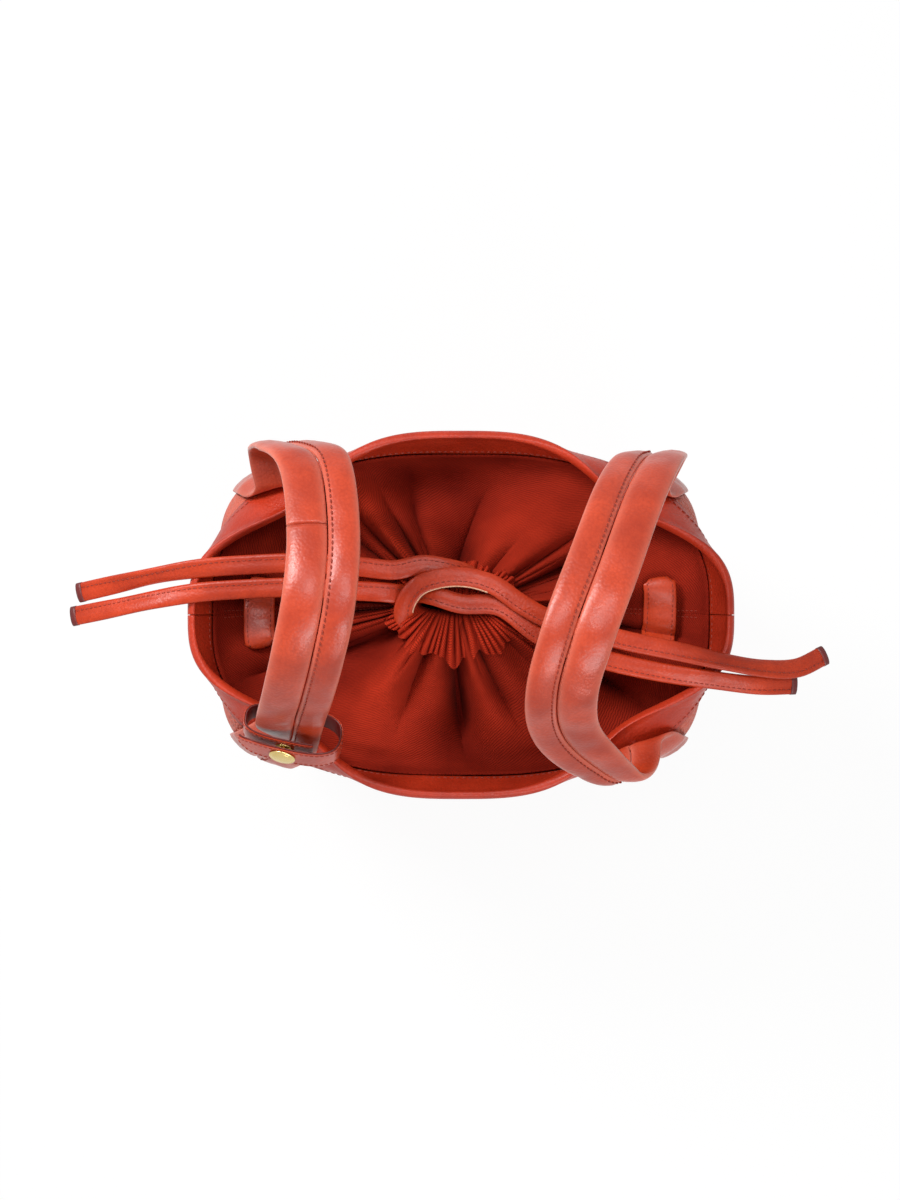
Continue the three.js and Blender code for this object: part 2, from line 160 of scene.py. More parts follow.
def addGrid(name, points, material, replaces="", wrap=(False, False), flip=False, closed=False,
            thickness=0.0, offset=-1.0, paintedLightAndWear=None):
    # a grid of points (rows, columns, xyz) becomes quads, with lengths along the grid as UVs in metres;
    # the light-and-wear values are one number for each point: above 0 where the surface is painted paler, as
    # painted highlight and on the handles also wear, below 0 where it is painted darker as painted shade
    points = np.asarray(points, float)
    rows, columns = points.shape[:2]
    quads = gridQuads(rows, columns, wrap)
    if closed:  # faces turn outwards when the enclosed volume is positive
        a, b, c, d = (points - points.mean((0, 1))).reshape(-1, 3)[quads].transpose(1, 0, 2)
        flip = np.sum(a * (np.cross(b, c) + np.cross(c, d))) < 0
    if flip:
        quads = quads[:, ::-1]
    rowGaps, columnGaps = [np.linalg.norm(np.diff(points, axis=k), axis=2) for k in (0, 1)]
    alongRows = np.cumsum(np.append(0, rowGaps.mean(1)))[:, None]
    alongColumns = np.cumsum(np.pad(columnGaps, ((0, 0), (1, 0))), 1)
    flat = np.stack(np.broadcast_arrays(alongRows, alongColumns), -1).reshape(-1, 2) * metre
    mesh = bpy.data.meshes.new(name)
    mesh.vertices.add(rows * columns)
    mesh.vertices.foreach_set("co", (points.reshape(-1) * metre).astype(np.float32))
    mesh.loops.add(quads.size)
    mesh.loops.foreach_set("vertex_index", quads.reshape(-1).astype(np.int32))
    mesh.polygons.add(len(quads))
    mesh.polygons.foreach_set("loop_start", np.arange(0, quads.size, 4, dtype=np.int32))
    mesh.polygons.foreach_set("use_smooth", np.ones(len(quads), bool))
    uv = mesh.uv_layers.new(name="cloth")
    uv.data.foreach_set("uv", flat[quads.reshape(-1)].reshape(-1).astype(np.float32))
    if paintedLightAndWear is not None:
        lightAndWearPaint = mesh.attributes.new("paintedLightAndWear", "FLOAT", "POINT")
        lightAndWearPaint.data.foreach_set("value", paintedLightAndWear.reshape(-1).astype(np.float32))
    mesh.update()
    weld(mesh)
    piece = addPiece(name, mesh, material)
    if thickness:
        solid = piece.modifiers.new("thickness", "SOLIDIFY")
        solid.thickness = thickness * metre
        solid.offset = offset
        solid.use_even_offset = False
    if replaces:
        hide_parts(replaces)
    return piece


# camera straight over the mouth, as in the photograph: distance and frame height in metres, aim in mm
shot = dict(distance=1.10, aim=(-6.4, 8.7), frameHeight=0.696)
cameraData = bpy.data.cameras.new("camera")
cameraData.sensor_width = 36.0
# the sensor's width spans the picture's long side, which is its height
cameraData.lens = cameraData.sensor_width * shot["distance"] / shot["frameHeight"]
camera = bpy.data.objects.new("camera", cameraData)
camera.location = (shot["aim"][0] * metre, shot["aim"][1] * metre, bag["height"] * metre + shot["distance"])
scene.collection.objects.link(camera)
scene.camera = camera
print("camera placed")

# materials, each on Object coordinates in metres or on the piece's own UVs in metres
# pale pink painted on as highlight where the light catches handle edges and panel corners, also standing for
# wear on the handles
paleHighlightAndWear = "#E2846E"
twillGroove = "#4A0703"
twillFuzz = "#E07058"


def grainedLeather(name, light, dark, grain, depth, roughness, coat):
    # drum-dyed leather with a pressed grain: small rounded pebbles, cloudy colour, soft gloss on the tops,
    # paler where a painted highlight lies, which on the handles also stands for wear; grain and depth are the
    # pebbles' width and the bump's height in mm
    material, tree, shader = newMaterial(name)
    where = addNode(tree, "ShaderNodeTexCoord").outputs["Object"]
    cells = addNode(tree, "ShaderNodeTexVoronoi", dict(feature="SMOOTH_F1"),
                    {"Vector": where, "Scale": 1 / (grain * metre), "Smoothness": 0.6, "Randomness": 1.0})
    creases = addNode(tree, "ShaderNodeTexNoise", inputs={
        "Vector": where, "Scale": 1 / (9 * metre), "Detail": 4.0})
    clouds = addNode(tree, "ShaderNodeTexNoise", inputs={
        "Vector": where, "Scale": 1 / (34 * metre), "Detail": 5.0, "Roughness": 0.6})
    shade = addNode(tree, "ShaderNodeValToRGB", inputs={"Fac": clouds.outputs["Fac"]})
    for stop, position, colour in zip(shade.color_ramp.elements, (0.32, 0.68), (dark, light)):
        stop.position = position
        stop.color = linear(colour)
    valley = addNode(tree, "ShaderNodeMapRange", inputs={
        "Value": cells.outputs["Distance"], "From Min": 0.35, "From Max": 0.85,
        "To Min": 0.0, "To Max": 0.45})
    dyed = addNode(tree, "ShaderNodeMix", dict(data_type="RGBA"),
                   {"Factor": valley.outputs["Result"], 6: shade.outputs["Color"], 7: linear(dark)})
    # painted highlight, partly wear: the point attribute mixes the leather towards the pale pink
    paintedLightAndWear = addNode(tree, "ShaderNodeAttribute", dict(attribute_name="paintedLightAndWear"))
    lightAndWearPaint = addNode(tree, "ShaderNodeMix", dict(data_type="RGBA"),
                     {"Factor": paintedLightAndWear.outputs["Fac"], 6: dyed.outputs[2], 7: linear(paleHighlightAndWear)})
    height = addNode(tree, "ShaderNodeMath", dict(operation="MULTIPLY_ADD"),
                     {0: creases.outputs["Fac"], 1: 0.8, 2: cells.outputs["Distance"]})
    bump = addNode(tree, "ShaderNodeBump", dict(invert=True),
                   {"Height": height.outputs["Value"], "Distance": depth * metre, "Strength": 0.7})
    gloss = addNode(tree, "ShaderNodeMapRange", inputs={
        "Value": creases.outputs["Fac"], "From Min": 0.3, "From Max": 0.7,
        "To Min": roughness - 0.07, "To Max": roughness + 0.09})
    tree.links.new(lightAndWearPaint.outputs[2], shader.inputs["Base Color"])
    tree.links.new(gloss.outputs["Result"], shader.inputs["Roughness"])
    tree.links.new(bump.outputs["Normal"], shader.inputs["Normal"])
    shader.inputs["IOR"].default_value = 1.5
    shader.inputs["Specular IOR Level"].default_value = 0.3
    shader.inputs["Coat Weight"].default_value = coat
    shader.inputs["Coat Roughness"].default_value = 0.3
    return material


def twillCloth(name, light, dark, ribPitch):
    # woven cotton twill: slanting ribs with dark grooves, matt with a faint fuzz, with painted light and
    # shade from the point attribute: paler on fold tops and ruffle tips as if lit, darker in fold valleys as
    # shade;
    # real ribs are about 0.6 mm apart, too fine for the picture, and are drawn coarse at ribPitch mm
    material, tree, shader = newMaterial(name)
    where = addNode(tree, "ShaderNodeTexCoord").outputs["UV"]
    turned = addNode(tree, "ShaderNodeMapping", inputs={
        "Vector": where, "Rotation": (0, 0, math.radians(52))})
    ribs = addNode(tree, "ShaderNodeTexWave", dict(wave_type="BANDS", bands_direction="X"),
                   {"Vector": turned.outputs["Vector"], "Scale": fullTurn / 20 / (ribPitch * metre),
                    "Distortion": 0.6, "Detail": 2.0, "Detail Scale": 1.5})
    clouds = addNode(tree, "ShaderNodeTexNoise", inputs={
        "Vector": where, "Scale": 1 / (22 * metre), "Detail": 4.0})
    # painted light and shade: the point attribute lifts the colour towards light on fold tops and ruffle tips
    # and pushes it to dark in fold valleys
    paintedLightAndWear = addNode(tree, "ShaderNodeAttribute", dict(attribute_name="paintedLightAndWear"))
    dyed = addNode(tree, "ShaderNodeMath", dict(operation="MULTIPLY"), {0: clouds.outputs["Fac"], 1: 0.5})
    lightAndWearPaint = addNode(tree, "ShaderNodeMath", dict(operation="MULTIPLY_ADD", use_clamp=True),
                     {0: paintedLightAndWear.outputs["Fac"], 1: 0.55, 2: dyed.outputs["Value"]})
    shade = addNode(tree, "ShaderNodeMix", dict(data_type="RGBA"),
                    {"Factor": lightAndWearPaint.outputs["Value"], 6: linear(dark), 7: linear(light)})
    groove = addNode(tree, "ShaderNodeMapRange", inputs={
        "Value": ribs.outputs["Fac"], "From Min": 0.0, "From Max": 0.45, "To Min": 0.68, "To Max": 0.0})
    colour = addNode(tree, "ShaderNodeMix", dict(data_type="RGBA"),
                     {"Factor": groove.outputs["Result"], 6: shade.outputs[2], 7: linear(twillGroove)})
    bump = addNode(tree, "ShaderNodeBump", inputs={
        "Height": ribs.outputs["Fac"], "Distance": 0.25 * metre, "Strength": 0.6})
    tree.links.new(colour.outputs[2], shader.inputs["Base Color"])
    tree.links.new(bump.outputs["Normal"], shader.inputs["Normal"])
    shader.inputs["Roughness"].default_value = 0.85
    shader.inputs["Specular IOR Level"].default_value = 0.1
    shader.inputs["Sheen Weight"].default_value = 0.03
    shader.inputs["Sheen Roughness"].default_value = 0.5
    shader.inputs["Sheen Tint"].default_value = linear(twillFuzz)
    return material


def plainFinish(name, light, dark, blotch, roughness, metallic, depth):
    # one finish with cloudy colour and a fine uneven surface; blotch and depth are in mm
    material, tree, shader = newMaterial(name)
    where = addNode(tree, "ShaderNodeTexCoord").outputs["Object"]
    noise = addNode(tree, "ShaderNodeTexNoise", inputs={
        "Vector": where, "Scale": 1 / (blotch * metre), "Detail": 4.0})
    colour = addNode(tree, "ShaderNodeMix", dict(data_type="RGBA"),
                     {"Factor": noise.outputs["Fac"], 6: linear(dark), 7: linear(light)})
    bump = addNode(tree, "ShaderNodeBump", inputs={
        "Height": noise.outputs["Fac"], "Distance": depth * metre, "Strength": 0.5})
    tree.links.new(colour.outputs[2], shader.inputs["Base Color"])
    tree.links.new(bump.outputs["Normal"], shader.inputs["Normal"])
    shader.inputs["Roughness"].default_value = roughness
    shader.inputs["Metallic"].default_value = metallic
    return material


# tumbled in the dye drum until it pebbles: rounded bumps that break the light into soft specks
pebbledLeather = grainedLeather("pebbled leather, drum dyed", "#C54A32", "#AE3A24",
                                grain=2.4, depth=1.6, roughness=0.5, coat=0.0)
# rubbed and waxed: nearly smooth, a warm sheen along the bow
burnishedLeather = grainedLeather("handle leather, burnished", "#C54322", "#9C2B10",
                                  grain=1.6, depth=0.2, roughness=0.36, coat=0.26)
# folded with the grain side out: smooth and a little brighter than the handles
cordLeather = grainedLeather("cord leather, folded", "#C63F1C", "#9E290B",
                             grain=1.4, depth=0.2, roughness=0.42, coat=0.06)
# cut from a smooth hide: a quiet, even band round the mouth
facingLeather = grainedLeather("facing leather, smooth cut", "#BF381C", "#A02811",
                               grain=1.6, depth=0.3, roughness=0.44, coat=0.08)
# woven on the slant: fine diagonal lines, with painted shade deepening the red in the folds and painted light
# making their tops lighter
cottonTwill = twillCloth("cotton twill, woven", "#C4361D", "#5C0801", ribPitch=1.3)
# sealed with paint: a dark, slightly glossy outline
edgePaint = plainFinish("leather edge, painted", "#6A140E", "#4A0A08",
                        blotch=6.0, roughness=0.45, metallic=0.0, depth=0.1)
# left as cut: the hide's pale, fibrous inside
rawEdge = plainFinish("leather edge, raw cut", "#E8BFA0", "#C98A68",
                      blotch=2.0, roughness=0.8, metallic=0.0, depth=0.2)
# twisted filament: small dull dashes, darker than the leather
sewingThread = plainFinish("polyester thread, twisted", "#9A3019", "#77200F",
                           blotch=1.2, roughness=0.6, metallic=0.0, depth=0.1)
# turned and buffed: pale yellow metal with soft-edged reflections
polishedBrass = plainFinish("brass, polished", "#E2CB8E", "#C9AE68",
                            blotch=8.0, roughness=0.26, metallic=1.0, depth=0.02)
print("materials ready")


def rimHeight(deg):  # the rim dips by rimDip times the squared cosine of twice the angle
    return bag["height"] - bag["rimDip"] * np.cos(2 * np.radians(deg)) ** 2


def wallPoint(deg, z):
    # rounded oblong section: size and squareness go from base to belly to mouth, corners bulge then pinch
    deg, z = np.broadcast_arrays(np.asarray(deg, float), np.asarray(z, float))
    a = np.radians(deg)
    belly = rimHeight(deg) - bag["bellyDrop"]
    low = smooth(z, 0, belly)
    high = np.maximum(0, (z - belly) / bag["bellyDrop"]) ** 2
    blend = lambda base, middle, mouth: mix(mix(base, middle, low), mouth, high)
    tuck = bag["footTuck"] * np.clip((bag["footHeight"] - z) / bag["footHeight"], 0, 1) ** 2
    sizes = zip(bag["baseSize"], bag["bellySize"], bag["mouthSize"])
    halfWide, halfDeep = [blend(*size) / 2 - tuck for size in sizes]
    corner = blend(0, bag["cornerBulge"], -bag["cornerPinch"])
    corner = corner * np.abs(np.sin(2 * a)) ** bag["cornerSharpness"]
    scale = (1 + corner) * squaredOval(a, blend(*bag["squareness"]))
    return np.stack([halfWide * scale * np.cos(a), halfDeep * scale * np.sin(a), z], -1)


def wallOffset(deg, z, distance):  # the wall point moved along the wall's outward normal
    along = wallPoint(deg + 0.5, z) - wallPoint(deg - 0.5, z)
    up = wallPoint(deg, z + 0.5) - wallPoint(deg, z - 0.5)
    return wallPoint(deg, z) + unit(np.cross(along, up)) * np.asarray(distance)[..., None]


def addStitches(name, line, normals, pitch=3.4, length=2.6, width=0.8, depth=0.45):
    # low ellipsoid beads laid end to end along a line, each turned to the line and its surface
    steps = lengthsAlong(line)
    count = max(2, int(steps[-1] / pitch))
    at = (np.arange(count) + 0.5) * steps[-1] / count
    up = unit(readAt(at, steps, normals))
    along = unit(readAt(at + 0.6, steps, line) - readAt(at - 0.6, steps, line))
    side = unit(np.cross(up, along))
    ring = np.linspace(0, fullTurn, 6, endpoint=False)[None, :]
    bend = np.linspace(0, math.pi, 5)[:, None]
    bead = np.stack([np.cos(bend) * length / 2 + 0 * ring, np.sin(bend) * np.cos(ring) * width / 2,
                     np.sin(bend) * np.sin(ring) * depth], -1)
    axes = np.stack([along, side, up], 1)
    points = readAt(at, steps, line)[:, None, None] + bead @ axes[:, None]
    firstPoint = np.arange(count) * bend.size * ring.size
    faces = (gridQuads(bend.size, ring.size, (False, True)) + firstPoint[:, None, None]).reshape(-1, 4)
    mesh = bpy.data.meshes.new(name)
    mesh.from_pydata((points.reshape(-1, 3) * metre).tolist(), [], faces.tolist())
    mesh.polygons.foreach_set("use_smooth", np.ones(len(faces), bool))
    weld(mesh)
    return addPiece(name, mesh, sewingThread)


# leather walls: four panels with turned-in seams, slumping a little between rim and base
panel = dict(rows=121, columns=90, slump=3.6, slumpReach=45.0, seamDip=1.1, seamWidth=2.2, highlightAndWear=0.38,
             highlightAndWearReach=55.0, mmPerDegree=2.3, turnedIn=0.2)
panels = dict(front_panel=(225, 315), right_gusset=(315, 405), back_panel=(45, 135), left_gusset=(135, 225))
for name, (start, end) in panels.items():
    deg = np.linspace(start + 0.08, end - 0.08, panel["rows"])[:, None]
    rim = rimHeight(deg)
    z = np.linspace(0, 1, panel["columns"])[None, :] * rim
    fade = smooth(z, 8, 60) * (1 - smooth(z, 190, 245))
    reach = np.minimum(deg - start, end - deg) * panel["mmPerDegree"]
    dip = panel["seamDip"] * np.exp(-(reach / panel["seamWidth"]) ** 2) * smooth(rim - z, 16, 30)
    dents = np.clip(0.5 + 0.5 * ripple(np.radians(deg) * 130, z, 11, finest=0.034), 0, 1)
    # only outwards, clear of the lining
    sag = panel["slump"] * fade * dents * smooth(reach, 0, panel["slumpReach"])
    # painted highlight with some wear: the corners under the handles are painted paler towards the top, where
    # the side light catches them
    highlightAndWear = panel["highlightAndWear"] * (1 - smooth(reach, 0, panel["highlightAndWearReach"])) * smooth(z, 90, 220)
    addGrid(name + ".leather", wallOffset(deg, z, sag - dip), pebbledLeather, name,
            thickness=bag["leather"] - panel["turnedIn"], paintedLightAndWear=highlightAndWear)

# base: two flat discs cut to the foot of the walls, the lining laid on the leather
base = dict(liningLevel=3.3, liningCut=(0.278, 0.144), rows=180)
deg = np.linspace(0, 360, base["rows"] + 1)[:-1, None]
inset = np.concatenate([np.linspace(0, 0.9, 10), [0.96, 1]])[None, :, None]
foot = wallOffset(deg, 0 * deg, 0 * deg - bag["leather"] - bag["gap"])
for name, level, cloth, slot, material in (
        ("base_panel", 0.0, bag["leather"], "pebbled_leather", pebbledLeather),
        ("base_lining", base["liningLevel"], bag["lining"], "twill", cottonTwill)):
    disc = foot * (1 - inset)
    disc[..., 2] = level
    piece = addGrid(name + ".sewn", disc, material, name, wrap=(True, False), flip=level < 1,
                    thickness=cloth)
print("walls and base sewn")

# rim facing: a leather strip folded over the wall's top edge, stitched near both of its edges
facing = dict(rows=301, puff=0.35, outerSeam=14.5, innerSeam=14.0, pitch=3.6, stitch=2.7)
over = bag["leather"] / 2 + bag["gap"] + bag["facingLeather"]
legs = np.linspace(0, 1, 9)
fold = np.linspace(0, math.pi, 15)[1:-1]
drop = np.concatenate([bag["facingDepth"] * (1 - legs), 0 * fold, bag["facingDepth"] * legs])[None, :]
away = np.concatenate([0 * legs + over, over * np.cos(fold), 0 * legs - over])[None, :] - bag["leather"] / 2
lift = np.concatenate([0 * legs, over * np.sin(fold), 0 * legs])[None, :]
facingSeams = (("outer", facing["outerSeam"], over - bag["leather"] / 2),
               ("inner", facing["innerSeam"], -over - bag["leather"] / 2))
for name, (start, end) in dict(back_rim_facing=(0, 180), front_rim_facing=(180, 360)).items():
    deg = np.linspace(start + 0.1, end - 0.1, facing["rows"])[:, None]
    puff = facing["puff"] * ripple(np.radians(deg) * 120, drop * 2, 5, finest=0.16) * smooth(drop, 0, 6)
    points = wallOffset(deg, rimHeight(deg) - drop, away + np.sign(away + bag["leather"] / 2) * puff)
    points[..., 2] += lift
    addGrid(name + ".folded", points, facingLeather, name,
            thickness=bag["facingLeather"] - 0.1)
    deg = deg[:, 0]
    for side, depth, reach in facingSeams:
        line = wallOffset(deg, rimHeight(deg) - depth, reach + 0 * deg)
        out = line - wallOffset(deg, rimHeight(deg) - depth, reach - np.sign(reach) + 0 * deg)
        addStitches(f"{name}.{side}_stitches", line, out, facing["pitch"], facing["stitch"])
print("rim facing stitched")

# lining: four twill sheets hung inside the walls; cut width and height are in metres
lining = dict(longCut=(0.258, 0.240), endCut=(0.158, 0.240), bottom=7.0, slack=0.5, rows=61, columns=45)
linings = dict(front_lining=(225, 315, "longCut"), right_lining=(315, 405, "endCut"),
               back_lining=(45, 135, "longCut"), left_lining=(135, 225, "endCut"))
for name, (start, end, cut) in linings.items():
    deg = np.linspace(start + 0.2, end - 0.2, lining["rows"])[:, None]
    top = rimHeight(deg) - bag["facingDepth"] - 0.4
    z = mix(lining["bottom"], top, np.linspace(0, 1, lining["columns"])[None, :])
    slack = lining["slack"] * (1 + ripple(np.radians(deg) * 120, z, 23, finest=0.06))
    slack = slack * smooth(z, 8, 40) * (1 - smooth(z, 190, 225))
    points = wallOffset(deg, z, -bag["leather"] - bag["gap"] - slack)
    cloth = addGrid(name + ".twill", points, cottonTwill, name, flip=True, thickness=bag["lining"],
                    offset=1)
print("lining hung")

# drawstring collar: radial folds that gather from the lining seam to a narrow neck, then a ruffle
collar = dict(
    drop=16.0, sag=20.0, crumple=4.2, ridges=(15.0, 10.0, 3.0), neck=(-3.5, 6.0), neckSize=(42.0, 9.0),
    neckDrop=6.0, cloth=0.9, ruffleFront=28.0, ruffleBack=20.0, ruffleEnds=14.0, ruffleRise=8.0,
    ruffleRoll=3.2, pleats=62, ruffleFold=2.9, cut=(0.42, 0.155), foldRows=78, ruffleRows=30, columns=400,
    seamAngle=1.2, seamPoints=120,
)


def foldWaves(a, place):
    # pillow ridges with sharp valleys in three sizes: broad towards the walls, finer towards the neck,
    # unevenly spaced, and flatter under the keeper tabs
    bent = a + 0.16 * np.sin(2 * a + 0.7) + 0.09 * np.sin(5 * a + 2.1) + 0.05 * np.sin(9 * a + 0.4)
    swirl = bent + 0.12 * np.sin(3 * a) * place
    ridge = lambda phase: 2 * np.abs(np.sin(phase / 2)) ** 0.75 - 1
    inside = np.clip(place, 0, 1)
    broad = ridge(8 * swirl + 0.5) * np.sin(math.pi * inside ** 0.95) ** 0.8 * (0.8 + 0.3 * np.sin(3 * a + 1))
    medium = ridge(17 * swirl + 1.9 + 0.8 * np.sin(4 * a)) * (0.85 + 0.35 * np.sin(2 * a + 4))
    medium = medium * smooth(place, 0.15, 0.6) * (1 - smooth(place, 0.86, 1.0))
    small = ridge(37 * swirl + 0.9 * np.sin(6 * a)) * smooth(place, 0.5, 0.8) * (1 - smooth(place, 0.95, 1.0))
    calm = 1 - 0.85 * np.exp(-(np.sin(a) / 0.22) ** 2) * (1 - smooth(place, 0.3, 0.6))
    high = collar["ridges"]
    return (high[0] * broad + high[1] * medium + high[2] * small) * calm


def collarPleat(a, place):  # small even pleats, blunter than a cosine, growing towards the neck
    wave = np.cos(collar["pleats"] * (a + 0.03 * np.sin(7 * a) + 0.02 * np.sin(17 * a)))
    return blunt(wave, 0.75) * smooth(place, 0.72, 1.0)


def collarPoint(deg, place):
    # a sagging blend from the lining seam (place 0) to the neck (place 1) with folds and crumples added,
    # then out over the ruffle (place 2), which rises, flares and rolls down at its edge
    a = np.radians(deg)
    setIn = bag["leather"] + bag["facingLeather"] + 1.5
    seam = wallOffset(deg, rimHeight(deg) - collar["drop"], 0 * deg - setIn)
    ring = np.stack([np.cos(a), np.sin(a), 0 * a], -1)
    waist = np.array([*collar["neck"], bag["height"] - collar["neckDrop"]])
    waist = waist + ring * np.array([*collar["neckSize"], 0]) / 2
    inside = np.clip(place, 0, 1)
    flare = np.clip(place - 1, 0, 1)
    points = mix(seam, waist, inside[..., None])
    z = mix(seam[..., 2], waist[..., 2], inside ** 1.7)
    z = z - collar["sag"] * np.sin(math.pi * inside ** 0.6) ** 1.2
    z = z + foldWaves(a, place) * smooth(place, 0, 0.15) * (1 - smooth(place, 1.0, 1.1))
    crumple = ripple(points[..., 0], points[..., 1], 31, finest=0.11)
    z = z + collar["crumple"] * crumple * np.sin(math.pi * inside) ** 1.5
    pleat = collarPleat(a, place)
    reach = mix(collar["ruffleBack"], collar["ruffleFront"], (1 - np.sin(a)) / 2)
    reach = mix(collar["ruffleEnds"], reach, np.abs(np.sin(a)) ** 0.6)
    reach = reach * (1 + 0.10 * np.sin(11 * a) + 0.05 * np.sin(23 * a + 1) + 0.05 * np.sin(31 * a))
    points += ring * (reach * flare ** 1.3 + 1.0 * pleat * (1 - flare))[..., None]
    z = z + collar["ruffleRise"] * np.sin(2.5 * flare) + collar["ruffleFold"] * pleat * mix(0.7, 1, flare)
    points[..., 2] = z - collar["ruffleRoll"] * smooth(flare, 0.72, 1.0) ** 2
    return points


def collarPaintedLightAndShade(deg, place):  # painted light and shade: fold tops and ruffle tips are painted paler as if lit, fold valleys painted darker as shade
    a = np.radians(deg)
    folds = foldWaves(a, place) / collar["ridges"][0] * (1 - smooth(place, 0.9, 1.0))
    return np.clip(folds * 0.6, -1, 1) + smooth(place, 0.98, 1.2) * (1.15 + 0.4 * collarPleat(a, place))


for name, (start, end) in dict(back_collar=(0, 180), front_collar=(180, 360)).items():
    deg = np.linspace(start, end, collar["columns"])[:, None]
    place = np.append(np.linspace(0, 1, collar["foldRows"]), np.linspace(1, 2, collar["ruffleRows"] + 1)[1:])
    grid = np.broadcast_arrays(deg, place[None, :])
    # the cloth carries painted light on its fold tops and ruffle tips and painted shade in its fold valleys
    cloth = addGrid(name + ".gathered", collarPoint(*grid), cottonTwill, name,
                    thickness=collar["cloth"], offset=0, paintedLightAndWear=collarPaintedLightAndShade(*grid))
    for tag, seam in (("start", start + collar["seamAngle"]), ("end", end - collar["seamAngle"])):
        place = np.linspace(0.04, 0.85, collar["seamPoints"])
        line = collarPoint(seam + 0 * place, place)
        across = collarPoint(seam + 0.5 + 0 * place, place) - collarPoint(seam - 0.5 + 0 * place, place)
        up = unit(np.cross(across, np.gradient(line, axis=0)))
        up = up * np.sign(up[:, 2:])
        addStitches(f"{name}.{tag}_seam_stitches", line + up * 0.55, up,
                    pitch=2.8, length=2.1, width=0.55, depth=0.3)
print("collar gathered")


def addStrip(name, middle, across, up, width, thickness, material, replaces="", crown=0.0,
             squareness=0.4, crease=0.0):
    # a rounded slab carried along a line, width along across and thickness along up,
    # with a crown and a crease on top, and each end drawn together to its middle point
    turn = np.linspace(0, fullTurn, 28, endpoint=False)[None, :, None]
    flat = blunt(np.cos(turn), squareness)
    high = blunt(np.sin(turn), 0.6)
    wide, thick = [np.broadcast_to(size, len(middle))[:, None, None] / 2 for size in (width, thickness)]
    onTop = crown * (1 - flat ** 2) - crease * np.exp(-((flat - 0.45) / 0.13) ** 2)
    lift = high * thick + onTop * (high > 0)
    points = middle[:, None] + across[:, None] * flat * wide + up[:, None] * lift
    ends = [np.broadcast_to(middle[k], points[:1].shape) for k in (0, -1)]
    points = np.concatenate([ends[0], points, ends[1]])
    return addGrid(name, points, material, replaces, wrap=(False, True), closed=True)


# drawstrings: leather strips folded lengthwise and stitched, from the neck over the rim to slanted cut ends;
# lengths are in metres, and heights in the routes count from the rim
cord = dict(
    width=12.5, drawnWidth=11.4, thickness=2.6, step=1.2, twist=38.0, wobble=0.10, crown=0.75, crease=0.7,
    seam=0.225, pathStep=3.0, rawEdgeRows=slice(14, 66),
    lengths=dict(left_cord_upper=0.25, left_cord_lower=0.217,
                 right_cord_upper=0.291, right_cord_lower=0.246),
)
cordRoutes = dict(
    left_cord_upper=[(-8, 27, 8), (-22, 29, 9), (-38, 26, 9), (-60, 28, 8), (-95, 30, 5), (-125, 29, 2),
                     (-152, 27, 0), (-178, 23, -4), (-202, 18, -12), (-226, 13, -24)],
    left_cord_lower=[(-43, 13, 8), (-60, 14, 7), (-95, 16, 4), (-125, 15, 1.5), (-153, 13, -0.5),
                     (-178, 9, -5), (-203, 4, -13), (-230, -1, -26)],
    right_cord_upper=[(-32, 7, 9), (-24, 17, 12), (-4, 22, 14), (17, 18, 14), (35, 6, 13), (50, -2, 12),
                      (92, -14, 8), (125, -21, 5), (152, -27, 4), (176, -31, 1),
                      (196, -31, -7), (214, -24, -18)],
    right_cord_lower=[(-15, 11, 7.5), (0, 6.5, 8), (22, 5, 8.5), (46, -12, 8), (80, -25, 5),
                      (115, -33, 2), (148, -38, 0), (174, -41, -5), (196, -41, -14)],
)
cordTucks = dict(
    left_cord_upper=[(9, 19, -6), (3, 24, 4)],
    left_cord_lower=[(-26, 11, -7), (-34, 12, 4)],
    right_cord_upper=[(-27, -6, -6), (-33, -1, 4)],
    right_cord_lower=[(-29, 12, -7), (-24, 13, 3)],
)
for name, points in cordRoutes.items():
    points = cordTucks[name] + points
    length = lengthsAlong(route(points, 200))[-1]
    middle = route(points, int(length / cord["step"])) + (0, 0, bag["height"])
    along = unit(np.gradient(middle, axis=0))
    level = unit(np.cross(along, (0, 0, 1)))
    upright = np.cross(level, along)
    share = np.linspace(0, 1, len(middle))
    twist = math.radians(cord["twist"]) * (1 if "upper" in name else -0.7)
    roll = cord["wobble"] * ripple(share * length, 0, len(name), finest=0.09)
    roll = (roll + twist * np.exp(-((share - 0.8) / 0.13) ** 2))[:, None]
    side = level * np.cos(roll) + upright * np.sin(roll)
    up = upright * np.cos(roll) - level * np.sin(roll)
    wide, thick = cord["drawnWidth"], cord["thickness"]
    piece = addStrip(name + ".strip", middle, side, up, wide, thick, cordLeather, name,
                     crown=cord["crown"], squareness=0.5, crease=cord["crease"])
    line = middle + side * (wide * cord["seam"]) + up * (thick / 2 + 0.05)
    stitches = addStitches(name + ".stitches", line, up, pitch=3.2, length=2.4, width=0.7)
    tip = addStrip(name + ".cut_end", middle[-4:] + along[-4:] * 0.4, side[-4:], up[-4:], wide + 0.4,
                   thick + 0.9, edgePaint, crown=0.9, squareness=0.6)
    if name == "right_cord_upper":  # the loop's inner edge shows the pale cut of the leather
        loop = cord["rawEdgeRows"]
        edge = middle[loop] + side[loop] * (wide / 2 - 0.3)
        addStrip(name + ".raw_edge", edge, side[loop], up[loop], 0.9, thick * 0.8,
                               rawEdge)
print("drawstrings laid")

